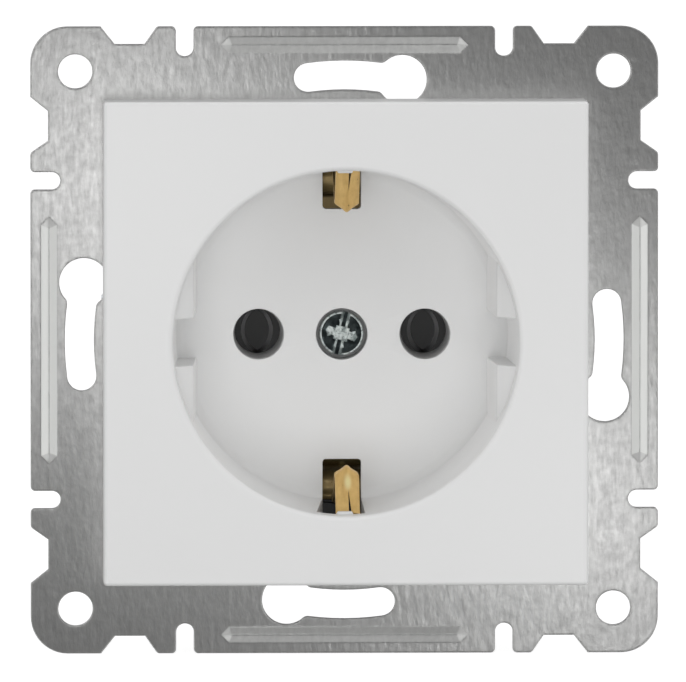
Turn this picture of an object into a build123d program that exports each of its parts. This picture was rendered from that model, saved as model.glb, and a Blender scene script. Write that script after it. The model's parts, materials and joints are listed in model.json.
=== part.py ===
from build123d import *
import os
from math import sqrt

os.makedirs("parts", exist_ok=True)

# Flush earthed socket insert, in millimetres. X is to the right, Z up and +Y into the wall.
# The origin is the centre of the mounting plate's back face, which lies on the wall.

# Plug that the socket takes
pin_spacing = 19.0
pin_diameter = 4.8
pin_length = 19.0

# Mounting plate
plate_size = 71.4
plate_thickness = 1.0
plate_corner_radius = 4.2
plate_edge_rounding = 0.5
corner_hole_inset = 5.1
corner_hole_diameter = 3.9
notch_inset = 8.0
notch_mouth_width = 6.4
notch_outer_slope = 1.6
notch_inner_slope = 1.4
notch_depth = 2.0
edge_slot_inset = 17.55
edge_slot_width = 2.0
edge_slot_depth = 3.4
keyhole_inset = 5.55
keyhole_width = 3.3
keyhole_tail_angle = 7.8
keyhole_head_angle = 12.5
keyhole_head_diameter = 5.6
keyhole_head_shift = 0.2
keyhole_neck_rounding = 0.8
bead_inset = 2.1
bead_length = 28.1
bead_width = 1.8
bead_point = 0.9
bead_height = 0.45
bead_wall = 0.3
bead_recess = 0.28
bead_slope = 62.0

# Cover plate with its well
cover_size = 55.0
cover_height = 7.0
cover_edge_radius = 0.3
cover_wall = 1.5
cover_face_wall = 2.0
cover_gap = 0.3
well_depth = 17.5
well_floor_radius = 19.0
well_mouth_radius = 19.6
well_rim_radius = 0.4
well_wall = 1.0
well_floor_wall = 2.0
pin_hole_diameter = 5.75
pin_hole_lip_diameter = 5.24
pin_hole_lip_depth = 2.0
pin_collar_wall = 1.1
pin_collar_depth = 7.1
guide_floor_offset = 16.6
guide_top_offset = 17.2
guide_top_drop = 4.0
guide_slope_drop = 1.6
guide_groove_width = 5.4
window_width = 4.4
window_clip_gap = 0.05
window_corner_radius = 0.4
window_mouth_width = 5.5
window_top_drop = 2.4
window_wall_start = 17.6

# Screws
cover_screw_hole_diameter = 5.85
cover_screw_head_diameter = 5.0
cover_screw_head_height = 2.3
cover_screw_head_drop = 0.9
cover_screw_length = 15.0
cover_screw_slot_angle = -14.0
screw_diameter = 3.0
screw_clearance = 0.2
screw_tip_chamfer = 0.4
terminal_head_diameter = 5.0
terminal_head_height = 2.2
terminal_screw_length = 7.6
screw_slot_width = 0.8
screw_slot_depth = 1.0
screw_cross_length = 3.3
screw_edge_chamfer = 0.3
boss_wall = 2.5

# Shutter, its spring and its clip
shutter_gap = 0.3
shutter_thickness = 2.6
shutter_running_gap = 0.08
shutter_hub_radius = 7.0
shutter_screw_gap = 0.5
shutter_wing_angle = 19.0
shutter_pocket_half_width = 1.83
shutter_pocket_half_height = 2.83
shutter_pocket_depth = 0.9
shutter_pocket_slope = 25.0
spring_recess_radius = 6.0
spring_recess_depth = 1.7
spring_wire_radius = 0.25
spring_radius = 5.1
spring_pitch = 0.6
spring_turns = 1.5
clip_gap = 0.15
clip_thickness = 0.5
clip_radius = 6.0
clip_slot_width = 0.8
clip_slot_radius = 5.0

# Earth strap with its two clips
strap_gap = 0.45
strap_thickness = 0.7
strap_width = 5.46
strap_wall_gap = 0.35
strap_bend_drop = 16.2
strap_bend_radius = 1.2
strap_arm_bend_radius = 2.5
strap_shelf_gap = 0.65
strap_riser_gap = 0.1
clip_apex_drop = 9.0
clip_apex_radius = 14.35
clip_apex_bend_radius = 0.9
clip_end_drop = 3.8
clip_end_radius = 19.75
clip_shift = 0.3
clip_tongue_width = 2.75
clip_point_length = 0.75
earth_screw_offset = 12.0

# Line contacts and terminals
contact_sheet = 0.6
contact_width = 4.7
contact_shift = 0.15
contact_mouth_gap = 7.2
contact_grip_room = 0.04
contact_foot_gap = 5.3
contact_mouth_drop = 0.1
contact_grip_drop = 2.0
contact_tip_room = 0.4
contact_bend_radius = 0.8
lug_drop = 1.5
lug_thickness = 0.8
lug_width = 6.0
lug_wall_gap = 0.6
clamp_size = 5.6
clamp_thickness = 1.2
clamp_chamfer = 0.3

# Housing behind the plate
housing_well_gap = 0.4
housing_wall = 1.5
housing_step_gap = 0.7
housing_chamber_radius = 19.6
housing_chamber_wall = 1.6
housing_floor = 1.6
housing_edge_chamfer = 1.2
housing_flat_half_width = 6.0
flange_rim = 2.0
flange_thickness = 1.6
post_radius = 4.5
earth_post_radius = 3.1
chamber_rib_gap = 0.2
chamber_rib_wall = 1.0
housing_rib_count = 8
housing_rib_width = 1.2
housing_rib_height = 0.7
wire_hole_diameter = 3.8
wire_hole_offset = 5.6
wire_funnel_depth = 0.6
insert_radius = 2.8
insert_length = 7.0
rivet_wall_gap = 0.35
rivet_radius = 1.2
rivet_head_radius = 2.1
rivet_head_height = 0.8
rivet_tail_radius = 1.75
rivet_tail_height = 0.6

# Spreader claws
claw_sheet = 0.8
claw_width = 6.4
claw_pivot_distance = 2.8
claw_pivot_drop = 2.2
claw_pin_radius = 0.8
claw_pin_gap = 0.07
claw_eye_radius = 1.3
claw_web_gap = 0.5
claw_web_start = 1.8
claw_bend_drop = 15.4
claw_foot_reach = 0.7
claw_foot_drop = 17.6
claw_bend_radius = 1.0
claw_tooth_height = 1.2
claw_tooth_start = 10.5
claw_tooth_length = 2.7
claw_tooth_lead = 2.16
claw_ear_gap = 0.4
plate_ear_thickness = 1.0
plate_ear_radius = 1.2
plate_ear_root = 0.2
claw_screw_gap = 0.8
claw_screw_relief = 0.5
claw_screw_housing_gap = 0.2
claw_screw_head_diameter = 4.4
claw_screw_head_height = 1.6
claw_screw_length = 15.9

# Levels worked out from the sizes above, as distances behind the wall plane
plate_front = -plate_thickness
cover_face = plate_front - cover_height
cover_back = plate_front - cover_gap
floor_front = cover_face + well_depth
floor_back = floor_front + well_floor_wall
collar_end = floor_front + pin_collar_depth
shutter_front = collar_end + shutter_gap
shutter_back = shutter_front + shutter_thickness
clip_front = shutter_back + clip_gap
strap_front = clip_front + clip_thickness + strap_gap
strap_back = strap_front + strap_thickness
lug_front = strap_front + lug_drop
lug_back = lug_front + lug_thickness
contact_back = floor_front + pin_length + contact_tip_room + contact_sheet
housing_back = contact_back + housing_floor
chamber_front = floor_back + housing_step_gap
clamp_front = lug_front - clamp_thickness
earth_clamp_front = strap_front - clamp_thickness
shelf_front = chamber_front + strap_shelf_gap
shelf_back = shelf_front + strap_thickness

# Places across the face worked out from the sizes above
pin_offset = pin_spacing / 2
plate_half = plate_size / 2
corner_hole_spacing = plate_size - 2 * corner_hole_inset
notch_outer_start = plate_half - notch_inset
notch_inner_start = notch_outer_start - notch_mouth_width
notch_outer_end = notch_outer_start - notch_outer_slope
notch_inner_end = notch_inner_start + notch_inner_slope
edge_slot_offset = plate_half - edge_slot_inset
keyhole_radius = plate_half - keyhole_inset
bead_offset = plate_half - bead_inset
window_start = clip_apex_radius - window_clip_gap
well_outer_radius = well_mouth_radius + well_wall
housing_well_radius = well_outer_radius + housing_well_gap
housing_radius = housing_well_radius + housing_wall
rivet_circle_radius = housing_radius + rivet_wall_gap + rivet_tail_radius
flange_radius = rivet_circle_radius + flange_rim
boss_radius = screw_diameter / 2 + screw_clearance + boss_wall
screw_bore_radius = screw_diameter / 2 + screw_clearance
screw_post_hole_radius = screw_bore_radius + screw_clearance
contact_inner_offset = pin_offset - contact_width / 2 + contact_shift
contact_outer_offset = contact_inner_offset + contact_width
contact_grip_gap = pin_diameter + contact_grip_room
lug_end_offset = housing_chamber_radius - lug_wall_gap
terminal_offset = lug_end_offset - clamp_size / 2
shutter_wing_radius = terminal_offset - terminal_head_diameter / 2 - shutter_screw_gap
strap_arm_offset = housing_chamber_radius - strap_wall_gap - strap_thickness / 2
strap_riser_offset = earth_screw_offset + clamp_size / 2 + strap_riser_gap + strap_bend_radius
claw_screw_offset = well_outer_radius + claw_screw_gap + claw_screw_head_diameter / 2
housing_flat_offset = claw_screw_offset - screw_diameter / 2 - claw_screw_housing_gap
claw_pivot_offset = claw_screw_offset + claw_pivot_distance
claw_foot_offset = claw_screw_offset - claw_foot_reach
claw_web_offset = claw_screw_offset + screw_diameter / 2 + claw_web_gap


def layer(depth):
    """Sketch plane across the socket at a depth, whose extrusions go to the front."""
    return Plane.XZ.offset(-depth)


def finish(piece, name):
    piece.part.label = name
    export_step(piece.part, f"parts/{name}.step")


# Keyhole slot: an arc round the plate's centre with a wide head at its end
with BuildSketch() as keyhole:
    keyhole_arc = Edge.make_circle(
        keyhole_radius,
        start_angle=90 - keyhole_head_angle,
        end_angle=90 + keyhole_tail_angle,
    )
    SlotArc(keyhole_arc, keyhole_width)
    with PolarLocations(keyhole_radius + keyhole_head_shift, 1, 90 - keyhole_head_angle) as head:
        Circle(keyhole_head_diameter / 2)
    head_centre = head.locations[0].position
    fillet(
        keyhole.vertices().sort_by_distance(head_centre).group_by(
            lambda v: round((v.center() - head_centre).length, 3)
        )[0],
        keyhole_neck_rounding,
    )

# Mounting plate: stamped outline, slots, beads and the ears that the claws hang in
with BuildPart() as mounting_plate:
    with BuildSketch(layer(0)) as plate_outline:
        RectangleRounded(plate_size, plate_size, plate_corner_radius)
        with PolarLocations(0, 4):
            for side in (-1, 1):
                Polygon(
                    (side * notch_outer_start, plate_half),
                    (side * notch_outer_end, plate_half - notch_depth),
                    (side * notch_inner_end, plate_half - notch_depth),
                    (side * notch_inner_start, plate_half),
                    (side * notch_inner_start, plate_half + notch_depth),
                    (side * notch_outer_start, plate_half + notch_depth),
                    mode=Mode.SUBTRACT,
                )
                with Locations((side * edge_slot_offset, plate_half)):
                    SlotOverall(2 * edge_slot_depth, edge_slot_width, 90, mode=Mode.SUBTRACT)
        edge_corners = plate_outline.vertices().filter_by(
            lambda v: max(abs(v.X), abs(v.Y)) > plate_half - 0.01
            and min(abs(v.X), abs(v.Y)) < notch_inner_end
        )
        fillet(edge_corners, plate_edge_rounding)
        with PolarLocations(0, 4):
            add(keyhole.sketch, mode=Mode.SUBTRACT)
        with GridLocations(corner_hole_spacing, corner_hole_spacing, 2, 2):
            Circle(corner_hole_diameter / 2, mode=Mode.SUBTRACT)
        Circle(housing_well_radius, mode=Mode.SUBTRACT)
        with Locations((claw_screw_offset, 0), (-claw_screw_offset, 0)):
            Circle(screw_diameter / 2, mode=Mode.SUBTRACT)
        with PolarLocations(rivet_circle_radius, 4, 45):
            Circle(rivet_radius, mode=Mode.SUBTRACT)
    extrude(amount=plate_thickness)
    bead_half = bead_length / 2
    with BuildSketch(layer(plate_front)):
        with PolarLocations(bead_offset, 4):
            Polygon(
                (0, -bead_half),
                (bead_width / 2, bead_point - bead_half),
                (bead_width / 2, bead_half - bead_point),
                (0, bead_half),
                (-bead_width / 2, bead_half - bead_point),
                (-bead_width / 2, bead_point - bead_half),
            )
    extrude(amount=bead_height, taper=bead_slope)
    bead_inner = bead_width / 2 - bead_wall
    bead_inner_half = bead_half - bead_wall
    with BuildSketch(layer(0)):
        with PolarLocations(bead_offset, 4):
            Polygon(
                (0, -bead_inner_half),
                (bead_inner, bead_point - bead_inner_half),
                (bead_inner, bead_inner_half - bead_point),
                (0, bead_inner_half),
                (-bead_inner, bead_inner_half - bead_point),
                (-bead_inner, bead_point - bead_inner_half),
            )
    extrude(amount=bead_recess, taper=bead_slope, mode=Mode.SUBTRACT)
    ear_low = claw_width / 2 + claw_ear_gap
    with BuildSketch(Plane.XY.offset(ear_low), Plane.XY.offset(-ear_low - plate_ear_thickness)):
        for side in (-1, 1):
            Polygon(
                (side * (housing_flat_offset + plate_ear_root), 0),
                (side * (claw_pivot_offset - plate_ear_radius), claw_pivot_drop),
                (side * (claw_pivot_offset + plate_ear_radius), claw_pivot_drop),
                (side * (claw_pivot_offset + plate_ear_radius), 0),
            )
            with Locations((side * claw_pivot_offset, claw_pivot_drop)):
                Circle(plate_ear_radius)
                Circle(claw_pin_radius, mode=Mode.SUBTRACT)
    extrude(amount=plate_ear_thickness)
finish(mounting_plate, "mounting_plate")

# Space inside the well: a tapered round hollow with two grooved guide ribs left standing in it
with BuildPart() as well_space:
    with BuildSketch(Plane.XY):
        Polygon(
            (0, floor_front),
            (well_floor_radius, floor_front),
            (well_mouth_radius, cover_face),
            (0, cover_face),
        )
    revolve(axis=Axis.Y)
    guide_half_length = sqrt(well_floor_radius**2 - guide_floor_offset**2) + well_wall / 2
    guide_top = cover_face + guide_top_drop
    groove_half = guide_groove_width / 2
    with BuildSketch(Plane.XY.offset(groove_half), Plane.XY.offset(-guide_half_length)):
        for side in (-1, 1):
            Polygon(
                (side * guide_floor_offset, floor_front),
                (side * guide_top_offset, guide_top),
                (side * housing_radius, guide_top - 2 * guide_slope_drop),
                (side * housing_radius, floor_front),
            )
    extrude(amount=guide_half_length - groove_half, mode=Mode.SUBTRACT)

# Cover plate: square cap, well, floor with collars for the pins and a boss for the screw
with BuildPart() as cover_plate:
    with BuildSketch(layer(cover_back)):
        Rectangle(cover_size, cover_size)
    extrude(amount=cover_back - cover_face)
    corner_edges = cover_plate.edges().filter_by(Axis.Y)
    front_edges = cover_plate.faces().sort_by(Axis.Y)[0].edges()
    fillet(corner_edges + front_edges, cover_edge_radius)
    with BuildSketch(layer(cover_back)):
        Rectangle(cover_size - 2 * cover_wall, cover_size - 2 * cover_wall)
        with Locations((claw_screw_offset, 0), (-claw_screw_offset, 0)):
            Circle(claw_screw_head_diameter / 2 + claw_screw_relief)
    extrude(amount=cover_back - cover_face - cover_face_wall, mode=Mode.SUBTRACT)
    with BuildSketch(layer(floor_back)):
        Circle(well_outer_radius)
    extrude(amount=floor_back - cover_face - cover_face_wall / 2)
    add(well_space.part, mode=Mode.SUBTRACT)
    rim = cover_plate.faces().filter_by(Axis.Y).sort_by(Axis.Y)[0].inner_wires()[0].edges()
    fillet(rim, well_rim_radius)
    with BuildSketch(layer(collar_end)):
        with Locations((pin_offset, 0), (-pin_offset, 0)):
            Circle(pin_hole_diameter / 2 + pin_collar_wall)
    extrude(amount=collar_end - floor_back)
    with BuildSketch(layer(strap_front)):
        Circle(boss_radius)
    extrude(amount=strap_front - floor_back)
    with BuildSketch(layer(collar_end)):
        with Locations((pin_offset, 0), (-pin_offset, 0)):
            Circle(pin_hole_lip_diameter / 2)
    extrude(amount=collar_end - floor_front, mode=Mode.SUBTRACT)
    with BuildSketch(layer(collar_end - pin_hole_lip_depth)):
        with Locations((pin_offset, 0), (-pin_offset, 0)):
            Circle(pin_hole_diameter / 2)
    extrude(amount=pin_collar_depth - pin_hole_lip_depth, mode=Mode.SUBTRACT)
    with BuildSketch(layer(strap_front)):
        Circle(screw_bore_radius)
    extrude(amount=strap_front - floor_front, mode=Mode.SUBTRACT)
    screw_seat = floor_front + cover_screw_head_drop + cover_screw_head_height
    with BuildSketch(layer(screw_seat)):
        Circle(cover_screw_hole_diameter / 2)
    extrude(amount=screw_seat - floor_front, mode=Mode.SUBTRACT)
    window_length = well_outer_radius + window_corner_radius - window_start
    with BuildSketch(layer(floor_back)):
        for side in (-1, 1):
            with Locations((0, side * (window_start + window_length / 2))):
                RectangleRounded(window_width, window_length, window_corner_radius)
    extrude(amount=well_floor_wall, mode=Mode.SUBTRACT)
    window_end = window_start + window_length
    with BuildSketch(Plane.XY.offset(window_wall_start), Plane.XY.offset(-window_end)):
        Polygon(
            (window_width / 2, floor_back),
            (window_width / 2, floor_front),
            (window_mouth_width / 2, cover_face + window_top_drop),
            (-window_mouth_width / 2, cover_face + window_top_drop),
            (-window_width / 2, floor_front),
            (-window_width / 2, floor_back),
        )
    extrude(amount=window_end - window_wall_start, mode=Mode.SUBTRACT)
finish(cover_plate, "cover_plate")


def combi_screw(x, z, head_front, head_diameter, head_height, length, slot_angle):
    """Cheese-head screw facing the front, with a slot and a short cross."""
    head_back = head_front + head_height
    with BuildPart() as screw:
        with BuildSketch(layer(head_back)):
            with Locations((x, z)):
                Circle(head_diameter / 2)
        extrude(amount=head_height)
        chamfer(screw.faces().sort_by(Axis.Y)[0].edges(), screw_edge_chamfer)
        with BuildSketch(layer(head_front + screw_slot_depth)):
            with Locations(Location((x, z), slot_angle)):
                Rectangle(screw_slot_width, head_diameter)
                Rectangle(screw_cross_length, screw_slot_width)
        extrude(amount=screw_slot_depth, mode=Mode.SUBTRACT)
        with BuildSketch(layer(head_back + length)):
            with Locations((x, z)):
                Circle(screw_diameter / 2)
        extrude(amount=length)
        chamfer(screw.faces().sort_by(Axis.Y)[-1].edges(), screw_tip_chamfer)
    return screw


cover_screw = combi_screw(
    0,
    0,
    floor_front + cover_screw_head_drop,
    cover_screw_head_diameter,
    cover_screw_head_height,
    cover_screw_length,
    cover_screw_slot_angle,
)
finish(cover_screw, "cover_screw")

# Shutter: a hub on the cover's boss with a wing behind each pin hole
with BuildPart() as shutter:
    with BuildSketch(layer(shutter_back)):
        Circle(shutter_hub_radius)
        for start in (-shutter_wing_angle, 180 - shutter_wing_angle):
            with BuildLine():
                wing_arc = CenterArc((0, 0), shutter_wing_radius, start, 2 * shutter_wing_angle)
                Line((0, 0), wing_arc @ 0)
                Line(wing_arc @ 1, (0, 0))
            make_face()
        Circle(boss_radius + shutter_running_gap, mode=Mode.SUBTRACT)
    extrude(amount=shutter_thickness)
    with BuildSketch(layer(shutter_back)):
        Circle(spring_recess_radius)
    extrude(amount=spring_recess_depth, mode=Mode.SUBTRACT)
    with BuildSketch(layer(shutter_front)):
        for x in (-pin_offset, pin_offset):
            with BuildLine():
                ThreePointArc(
                    (x, shutter_pocket_half_height),
                    (x - shutter_pocket_half_width, 0),
                    (x, -shutter_pocket_half_height),
                )
                ThreePointArc(
                    (x, -shutter_pocket_half_height),
                    (x + shutter_pocket_half_width, 0),
                    (x, shutter_pocket_half_height),
                )
            make_face()
    extrude(amount=-shutter_pocket_depth, taper=shutter_pocket_slope, mode=Mode.SUBTRACT)
finish(shutter, "shutter")

# Spring that turns the shutter back, in the hub's recess
with BuildPart() as shutter_spring:
    spring_height = spring_turns * spring_pitch
    spring_start = shutter_back - spring_recess_depth + 2 * spring_wire_radius
    with BuildLine():
        coil = Helix(
            spring_pitch,
            spring_height,
            spring_radius,
            center=(0, spring_start, 0),
            direction=(0, 1, 0),
        )
    with BuildSketch(Plane(origin=coil @ 0, z_dir=coil % 0)):
        Circle(spring_wire_radius)
    sweep(path=coil, is_frenet=True)
finish(shutter_spring, "shutter_spring")

# Clip: a slotted ring pressed on the boss behind the shutter
with BuildPart() as shutter_clip:
    with BuildSketch(layer(clip_front + clip_thickness)):
        Circle(clip_radius)
        Circle(boss_radius, mode=Mode.SUBTRACT)
        with PolarLocations(boss_radius, 3, 90):
            Rectangle(
                2 * (clip_slot_radius - boss_radius),
                clip_slot_width,
                mode=Mode.SUBTRACT,
            )
    extrude(amount=clip_thickness)
finish(shutter_clip, "shutter_clip")

# Earth strap: one bent brass strip, bar in the middle and a clip at each end
apex_depth = cover_face + clip_apex_drop
clip_end_depth = cover_face + clip_end_drop
arm_bend_depth = cover_face + strap_bend_drop
strap_middle = strap_front + strap_thickness / 2
shelf_middle = shelf_front + strap_thickness / 2
clip_bends = (clip_apex_bend_radius, strap_arm_bend_radius)
strap_line = FilletPolyline(
    (clip_end_depth, clip_end_radius),
    (apex_depth, clip_apex_radius + strap_thickness / 2),
    (arm_bend_depth, strap_arm_offset),
    (shelf_middle, strap_arm_offset),
    (shelf_middle, strap_riser_offset),
    (strap_middle, strap_riser_offset),
    (strap_middle, -strap_riser_offset),
    (shelf_middle, -strap_riser_offset),
    (shelf_middle, -strap_arm_offset),
    (arm_bend_depth, -strap_arm_offset),
    (apex_depth, -clip_apex_radius - strap_thickness / 2),
    (clip_end_depth, -clip_end_radius),
    radius=(*clip_bends, *(6 * [strap_bend_radius]), *clip_bends[::-1]),
)
with BuildPart() as earth_strap:
    with BuildSketch(Plane.YZ.offset(clip_shift)):
        SlotArc(strap_line.wire(), strap_thickness)
    extrude(amount=strap_width / 2, both=True)
    # Only a narrow tongue with a blunt point stands in the window, the shelf and the bar stay wide
    tongue_length = clip_end_radius + strap_thickness - clip_apex_radius
    tongue_half = clip_tongue_width / 2
    with BuildSketch(layer(chamber_front)):
        for side in (-1, 1):
            with Locations((clip_shift, side * (clip_apex_radius + tongue_length / 2))):
                Rectangle(2 * strap_width, tongue_length + 2 * clip_point_length)
        for side in (-1, 1):
            tongue_end = side * (clip_apex_radius + tongue_length + 2 * clip_point_length)
            Polygon(
                (clip_shift, side * clip_apex_radius),
                (clip_shift + tongue_half, side * (clip_apex_radius + clip_point_length)),
                (clip_shift + tongue_half, tongue_end),
                (clip_shift - tongue_half, tongue_end),
                (clip_shift - tongue_half, side * (clip_apex_radius + clip_point_length)),
                mode=Mode.SUBTRACT,
            )
    extrude(amount=chamber_front - cover_face, mode=Mode.SUBTRACT)
    with BuildSketch(layer(strap_back)):
        Circle(screw_bore_radius)
        with Locations((0, -earth_screw_offset)):
            Circle(screw_diameter / 2)
    extrude(amount=strap_thickness, mode=Mode.SUBTRACT)
finish(earth_strap, "earth_strap")

# Threaded insert for the cover screw, flush in the housing's middle post
with BuildPart() as screw_insert:
    with BuildSketch(layer(strap_back + insert_length)):
        Circle(insert_radius)
        Circle(screw_diameter / 2, mode=Mode.SUBTRACT)
    extrude(amount=insert_length)
finish(screw_insert, "screw_insert")


def clamp_plate(x, z, front):
    """Square clamp plate with a hole for its screw."""
    with BuildPart() as clamp:
        with BuildSketch(layer(front + clamp_thickness)):
            with Locations((x, z)):
                Rectangle(clamp_size, clamp_size)
        extrude(amount=clamp_thickness)
        chamfer(clamp.faces().sort_by(Axis.Y)[0].edges(), clamp_chamfer)
        with BuildSketch(layer(front + clamp_thickness)):
            with Locations((x, z)):
                Circle(screw_bore_radius)
        extrude(amount=clamp_thickness, mode=Mode.SUBTRACT)
    return clamp


def terminal_screw(x, z, clamp_level, slot_angle):
    return combi_screw(
        x,
        z,
        clamp_level - terminal_head_height,
        terminal_head_diameter,
        terminal_head_height,
        terminal_screw_length,
        slot_angle,
    )


finish(clamp_plate(0, -earth_screw_offset, earth_clamp_front), "earth_clamp")
finish(terminal_screw(0, -earth_screw_offset, earth_clamp_front, 20), "earth_screw")

# Line contacts: a folded sheet that grips the pin above and below, with a web and a lug
contact_mouth = strap_front + contact_mouth_drop
contact_grip = contact_mouth + contact_grip_drop
contact_foot = contact_back - contact_sheet / 2
grip_half = (contact_grip_gap + contact_sheet) / 2
foot_half = (contact_foot_gap + contact_sheet) / 2
contact_line = FilletPolyline(
    (contact_mouth, contact_mouth_gap / 2),
    (contact_grip, grip_half),
    (contact_foot, foot_half),
    (contact_foot, -foot_half),
    (contact_grip, -grip_half),
    (contact_mouth, -contact_mouth_gap / 2),
    radius=contact_bend_radius,
)


def line_contact(side):
    """Contact for one pin: side is 1 on the right and -1 on the left."""
    with BuildPart() as contact:
        with BuildSketch(Plane.YZ.offset(side * contact_inner_offset)):
            SlotArc(contact_line.wire(), contact_sheet)
        extrude(amount=side * contact_width)
        with BuildSketch(Plane.YZ.offset(side * contact_outer_offset)):
            with Locations((lug_front, 0)):
                Rectangle(
                    contact_foot - lug_front - contact_bend_radius,
                    lug_width,
                    align=(Align.MIN, Align.CENTER),
                )
        extrude(amount=side * contact_sheet)
        lug_length = lug_end_offset - contact_outer_offset
        with BuildSketch(layer(lug_back)):
            with Locations((side * (contact_outer_offset + lug_length / 2), 0)):
                Rectangle(lug_length, lug_width)
            with Locations((side * terminal_offset, 0)):
                Circle(screw_diameter / 2, mode=Mode.SUBTRACT)
        extrude(amount=lug_thickness)
    return contact


for side, word in ((-1, "left"), (1, "right")):
    finish(line_contact(side), f"contact_{word}")
    finish(clamp_plate(side * terminal_offset, 0, clamp_front), f"terminal_clamp_{word}")
    finish(terminal_screw(side * terminal_offset, 0, clamp_front, side * 35), f"terminal_screw_{word}")

# Housing: moulded cup with a flange behind the plate, chambers and posts inside
with BuildPart() as base_housing:
    with BuildSketch(layer(chamber_front + housing_wall)):
        Circle(housing_radius)
    extrude(amount=chamber_front + housing_wall)
    with BuildSketch(layer(housing_back)):
        Circle(housing_chamber_radius + housing_chamber_wall)
    extrude(amount=housing_back - chamber_front)
    chamfer(base_housing.faces().sort_by(Axis.Y)[-1].edges(), housing_edge_chamfer)
    with BuildSketch(layer(flange_thickness)):
        Circle(flange_radius)
    extrude(amount=flange_thickness)
    with BuildSketch(layer(chamber_front + housing_wall)):
        with PolarLocations(housing_radius, housing_rib_count, 180 / housing_rib_count):
            Rectangle(2 * housing_rib_height, housing_rib_width)
    extrude(amount=chamber_front + housing_wall)
    with BuildSketch(layer(housing_back)):
        for side in (-1, 1):
            with Locations((side * (housing_flat_offset + flange_radius / 2), 0)):
                Rectangle(flange_radius, 2 * housing_flat_half_width)
    extrude(amount=housing_back, mode=Mode.SUBTRACT)
    with BuildSketch(layer(chamber_front)):
        Circle(housing_well_radius)
    extrude(amount=chamber_front, mode=Mode.SUBTRACT)
    with BuildSketch(layer(contact_back)):
        Circle(housing_chamber_radius)
    extrude(amount=contact_back - chamber_front, mode=Mode.SUBTRACT)
    # Posts under the strap's bar: the middle one and the earth screw's
    with BuildSketch(layer(contact_back)):
        Circle(post_radius)
        with Locations((0, -earth_screw_offset)):
            Circle(earth_post_radius)
    extrude(amount=contact_back - strap_back)
    # Ledges under the strap's two shelves
    ledge_start = strap_riser_offset + strap_bend_radius
    ledge_length = housing_chamber_radius - ledge_start
    with BuildSketch(layer(contact_back)):
        for side in (-1, 1):
            with Locations((0, side * (ledge_start + ledge_length / 2))):
                Rectangle(strap_width, ledge_length)
    extrude(amount=contact_back - shelf_back)
    # Posts under the lugs
    post_start = contact_outer_offset + contact_sheet + chamber_rib_gap
    post_length = housing_chamber_radius - post_start
    with BuildSketch(layer(contact_back)):
        for side in (-1, 1):
            with Locations((side * (post_start + post_length / 2), 0)):
                Rectangle(post_length, lug_width)
    extrude(amount=contact_back - lug_back)
    # Ribs that hold the contacts up and down
    rib_middle = contact_mouth_gap / 2 + contact_sheet / 2 + chamber_rib_gap + chamber_rib_wall / 2
    with BuildSketch(layer(contact_back)):
        with GridLocations(2 * pin_offset, 2 * rib_middle, 2, 2):
            Rectangle(contact_width, chamber_rib_wall)
    extrude(amount=contact_back - contact_grip)
    # Funnels that guide the stripped wires into their holes
    with BuildSketch(layer(housing_back)):
        with GridLocations(2 * terminal_offset, 2 * wire_hole_offset, 2, 2):
            Circle(wire_hole_diameter / 2 + wire_funnel_depth)
        with Locations((wire_hole_offset, -earth_screw_offset), (-wire_hole_offset, -earth_screw_offset)):
            Circle(wire_hole_diameter / 2 + wire_funnel_depth)
    extrude(amount=wire_funnel_depth, taper=45, mode=Mode.SUBTRACT)
    # Holes for the insert, the screw tips, the rivets and the wires
    with BuildSketch(layer(strap_back + insert_length)):
        Circle(insert_radius)
    extrude(amount=insert_length, mode=Mode.SUBTRACT)
    with BuildSketch(layer(contact_back)):
        Circle(screw_post_hole_radius)
        with Locations((0, -earth_screw_offset), (terminal_offset, 0), (-terminal_offset, 0)):
            Circle(screw_post_hole_radius)
    extrude(amount=contact_back - strap_back, mode=Mode.SUBTRACT)
    with BuildSketch(layer(flange_thickness)):
        with PolarLocations(rivet_circle_radius, 4, 45):
            Circle(rivet_radius)
    extrude(amount=flange_thickness, mode=Mode.SUBTRACT)
    with BuildSketch(layer(housing_back)):
        with GridLocations(2 * terminal_offset, 2 * wire_hole_offset, 2, 2):
            Circle(wire_hole_diameter / 2)
        with Locations((wire_hole_offset, -earth_screw_offset), (-wire_hole_offset, -earth_screw_offset)):
            Circle(wire_hole_diameter / 2)
    extrude(amount=housing_floor, mode=Mode.SUBTRACT)
finish(base_housing, "base_housing")

# Rivets through the plate and the flange
with BuildPart() as base_rivets:
    with BuildSketch(layer(flange_thickness)):
        with PolarLocations(rivet_circle_radius, 4, 45):
            Circle(rivet_radius)
    extrude(amount=flange_thickness + plate_thickness)
    with BuildSketch(layer(plate_front)):
        with PolarLocations(rivet_circle_radius, 4, 45):
            Circle(rivet_head_radius)
    extrude(amount=rivet_head_height)
    fillet(base_rivets.faces().group_by(Axis.Y)[0].edges(), rivet_head_height / 2)
    with BuildSketch(layer(flange_thickness + rivet_tail_height)):
        with PolarLocations(rivet_circle_radius, 4, 45):
            Circle(rivet_tail_radius)
    extrude(amount=rivet_tail_height)
finish(base_rivets, "base_rivets")


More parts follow.
